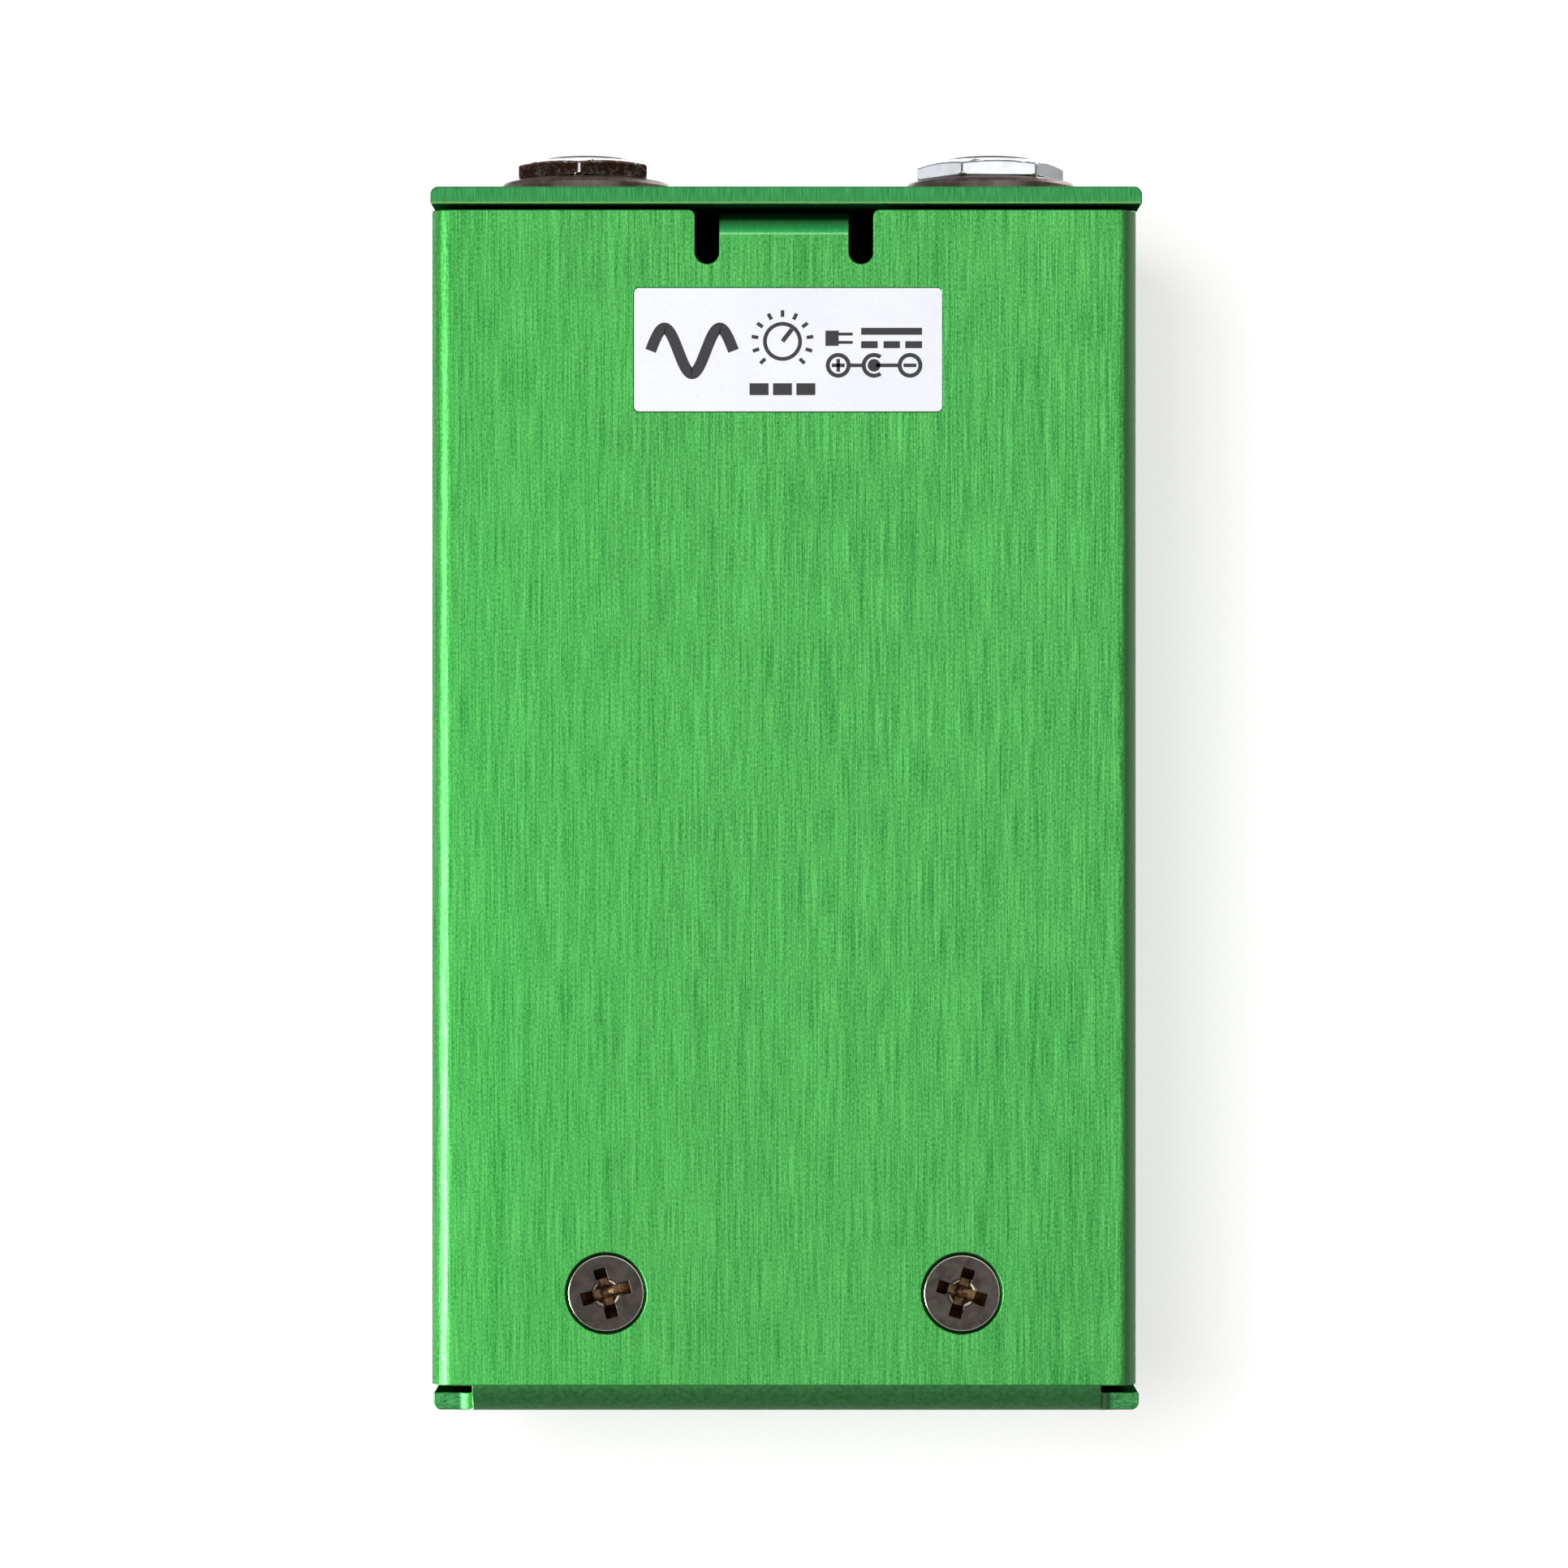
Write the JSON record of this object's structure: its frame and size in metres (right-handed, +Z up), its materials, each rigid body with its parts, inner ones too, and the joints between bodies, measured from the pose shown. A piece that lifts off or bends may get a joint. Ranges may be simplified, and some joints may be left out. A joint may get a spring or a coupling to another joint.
{
  "type": "guitar effects pedal",
  "caption": "Compact guitar effects pedal in a folded green metal enclosure, with rear jacks, turning control knobs and a sprung footswitch.",
  "frame": {"origin": "centre of the outer face of the base, which the pedal stands on", "axes": "+X to the player's right, +Y towards the rear wall with the jacks, +Z up through the knobs"},
  "size_m": [0.064, 0.1148, 0.0505],
  "materials": {
    "anodised_green": "brushed, green anodised",
    "label_white": "satin printed film",
    "screw_nickel": "dark nickel plate",
    "chrome_plate": "polished",
    "zinc_plate": "zinc plated, satin",
    "washer_grey": "moulded, satin",
    "black_nylon": "moulded, matt",
    "contact_silver": "silver plated spring metal",
    "knob_black": "moulded, satin",
    "pointer_white": "moulded inlay",
    "lens_red": "tinted lens",
    "switch_blue": "moulded",
    "board_green": "solder-masked laminate",
    "wafer_brown": "phenolic",
    "ribbon_grey": "vinyl insulated",
    "chip_black": "moulded",
    "can_blue": "sleeved",
    "film_red": "dipped",
    "resistor_tan": "lacquered"
  },
  "bodies": {
    "enclosure": {"cover": "anodised_green", "base_plate": "anodised_green", "cover_screws": "screw_nickel", "clinch_nuts": "zinc_plate", "spec_label": "label_white", "input_jack_housing": "black_nylon", "input_jack_tip_contact": "contact_silver", "input_jack_sleeve_contact": "contact_silver", "output_jack_housing": "black_nylon", "output_jack_tip_contact": "contact_silver", "output_jack_sleeve_contact": "contact_silver", "jack_washers": "washer_grey", "jack_nuts": "chrome_plate", "dc_jack_housing": "black_nylon", "dc_jack_pin": "contact_silver", "dc_jack_contact": "contact_silver", "left_pot_housing": "zinc_plate", "centre_pot_housing": "zinc_plate", "right_pot_housing": "zinc_plate", "left_pot_wafer": "wafer_brown", "centre_pot_wafer": "wafer_brown", "right_pot_wafer": "wafer_brown", "pot_washers": "zinc_plate", "pot_nuts": "zinc_plate", "pot_terminals": "contact_silver", "status_led": "lens_red", "led_bezel": "chrome_plate", "led_leads": "contact_silver", "footswitch_housing": "switch_blue", "footswitch_cradle": "zinc_plate", "footswitch_bushing": "chrome_plate", "footswitch_spring": "zinc_plate", "footswitch_dress_washer": "chrome_plate", "footswitch_dress_nut": "chrome_plate", "footswitch_lock_nut": "zinc_plate", "footswitch_lock_washer": "zinc_plate", "footswitch_terminals": "contact_silver", "footswitch_board": "board_green", "main_board": "board_green", "ribbon_cable": "ribbon_grey", "op_amp_chips": "chip_black", "electrolytic_capacitors": "can_blue", "film_capacitors": "film_red", "resistors": "resistor_tan", "transistors": "chip_black"},
    "left_control": {"left_pot_shaft": "zinc_plate", "left_knob": "knob_black", "left_knob_pointer": "pointer_white", "left_knob_grub_screw": "zinc_plate"},
    "centre_control": {"centre_pot_shaft": "zinc_plate", "centre_knob": "knob_black", "centre_knob_pointer": "pointer_white", "centre_knob_grub_screw": "zinc_plate"},
    "right_control": {"right_pot_shaft": "zinc_plate", "right_knob": "knob_black", "right_knob_pointer": "pointer_white", "right_knob_grub_screw": "zinc_plate"},
    "footswitch_button": {"footswitch_plunger": "chrome_plate"}
  },
  "joints": [
    {"name": "left_knob_turn", "type": "hinge", "parent": "enclosure", "child": "left_control", "pos_m": [-0.019, 0.0335, 0.0431], "axis": [0, 0, -1], "range_deg": [-150, 150]},
    {"name": "centre_knob_turn", "type": "hinge", "parent": "enclosure", "child": "centre_control", "pos_m": [0, 0.021, 0.0431], "axis": [0, 0, -1], "range_deg": [-150, 150]},
    {"name": "right_knob_turn", "type": "hinge", "parent": "enclosure", "child": "right_control", "pos_m": [0.019, 0.0335, 0.0431], "axis": [0, 0, -1], "range_deg": [-150, 150]},
    {"name": "footswitch_press", "type": "slide", "parent": "enclosure", "child": "footswitch_button", "axis": [0, 0, -1], "range_m": [0, 0.0025], "stiffness_N_per_m": 2000, "springref_m": -0.003, "deforming": ["footswitch_spring"]}
  ]
}
